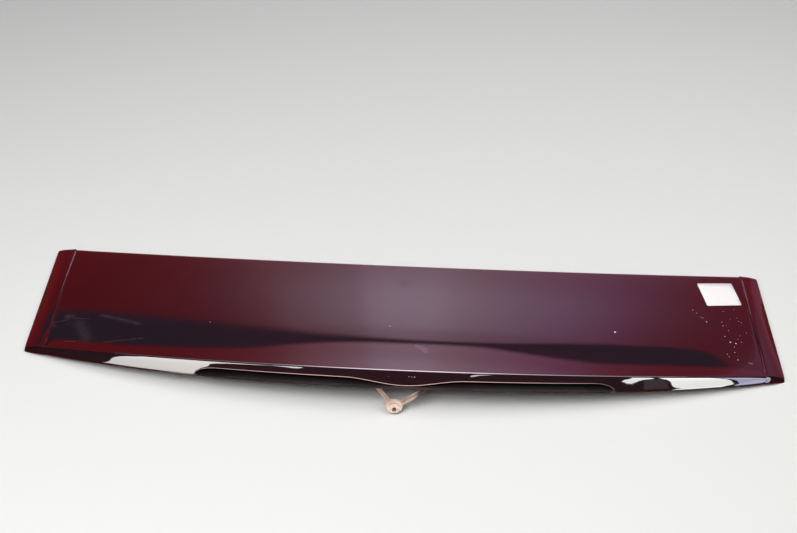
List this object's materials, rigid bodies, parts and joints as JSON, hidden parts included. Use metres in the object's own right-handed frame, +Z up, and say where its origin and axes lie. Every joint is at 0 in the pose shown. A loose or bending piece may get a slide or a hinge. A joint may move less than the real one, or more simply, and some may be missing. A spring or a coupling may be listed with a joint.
{
  "type": "car spoiler",
  "caption": "Arched tailgate roof spoiler in glossy plum paint, with sloping ears, a recess in its trailing face, studs and a small bracket below.",
  "frame": {"origin": "middle of the footprint, on the surface that the ears' outer edges rest on", "axes": "+Y towards the roof of the car, +Z up, +X to the right seen from behind the car"},
  "size_m": [1.28, 0.3859, 0.0716],
  "materials": {
    "plum_paint": "clear-coated dark plum paint",
    "black_moulding": "black moulded plastic",
    "foam": "closed-cell foam",
    "zinc_steel": "yellow zinc",
    "natural_moulding": "natural moulded plastic"
  },
  "bodies": {
    "root": {"upper_shell": "plum_paint", "lower_shell": "black_moulding", "front_seal": "foam", "stud_seals": "foam", "mounting_studs": "zinc_steel", "centre_bracket": "natural_moulding", "bracket_screws": "zinc_steel"}
  },
  "joints": []
}
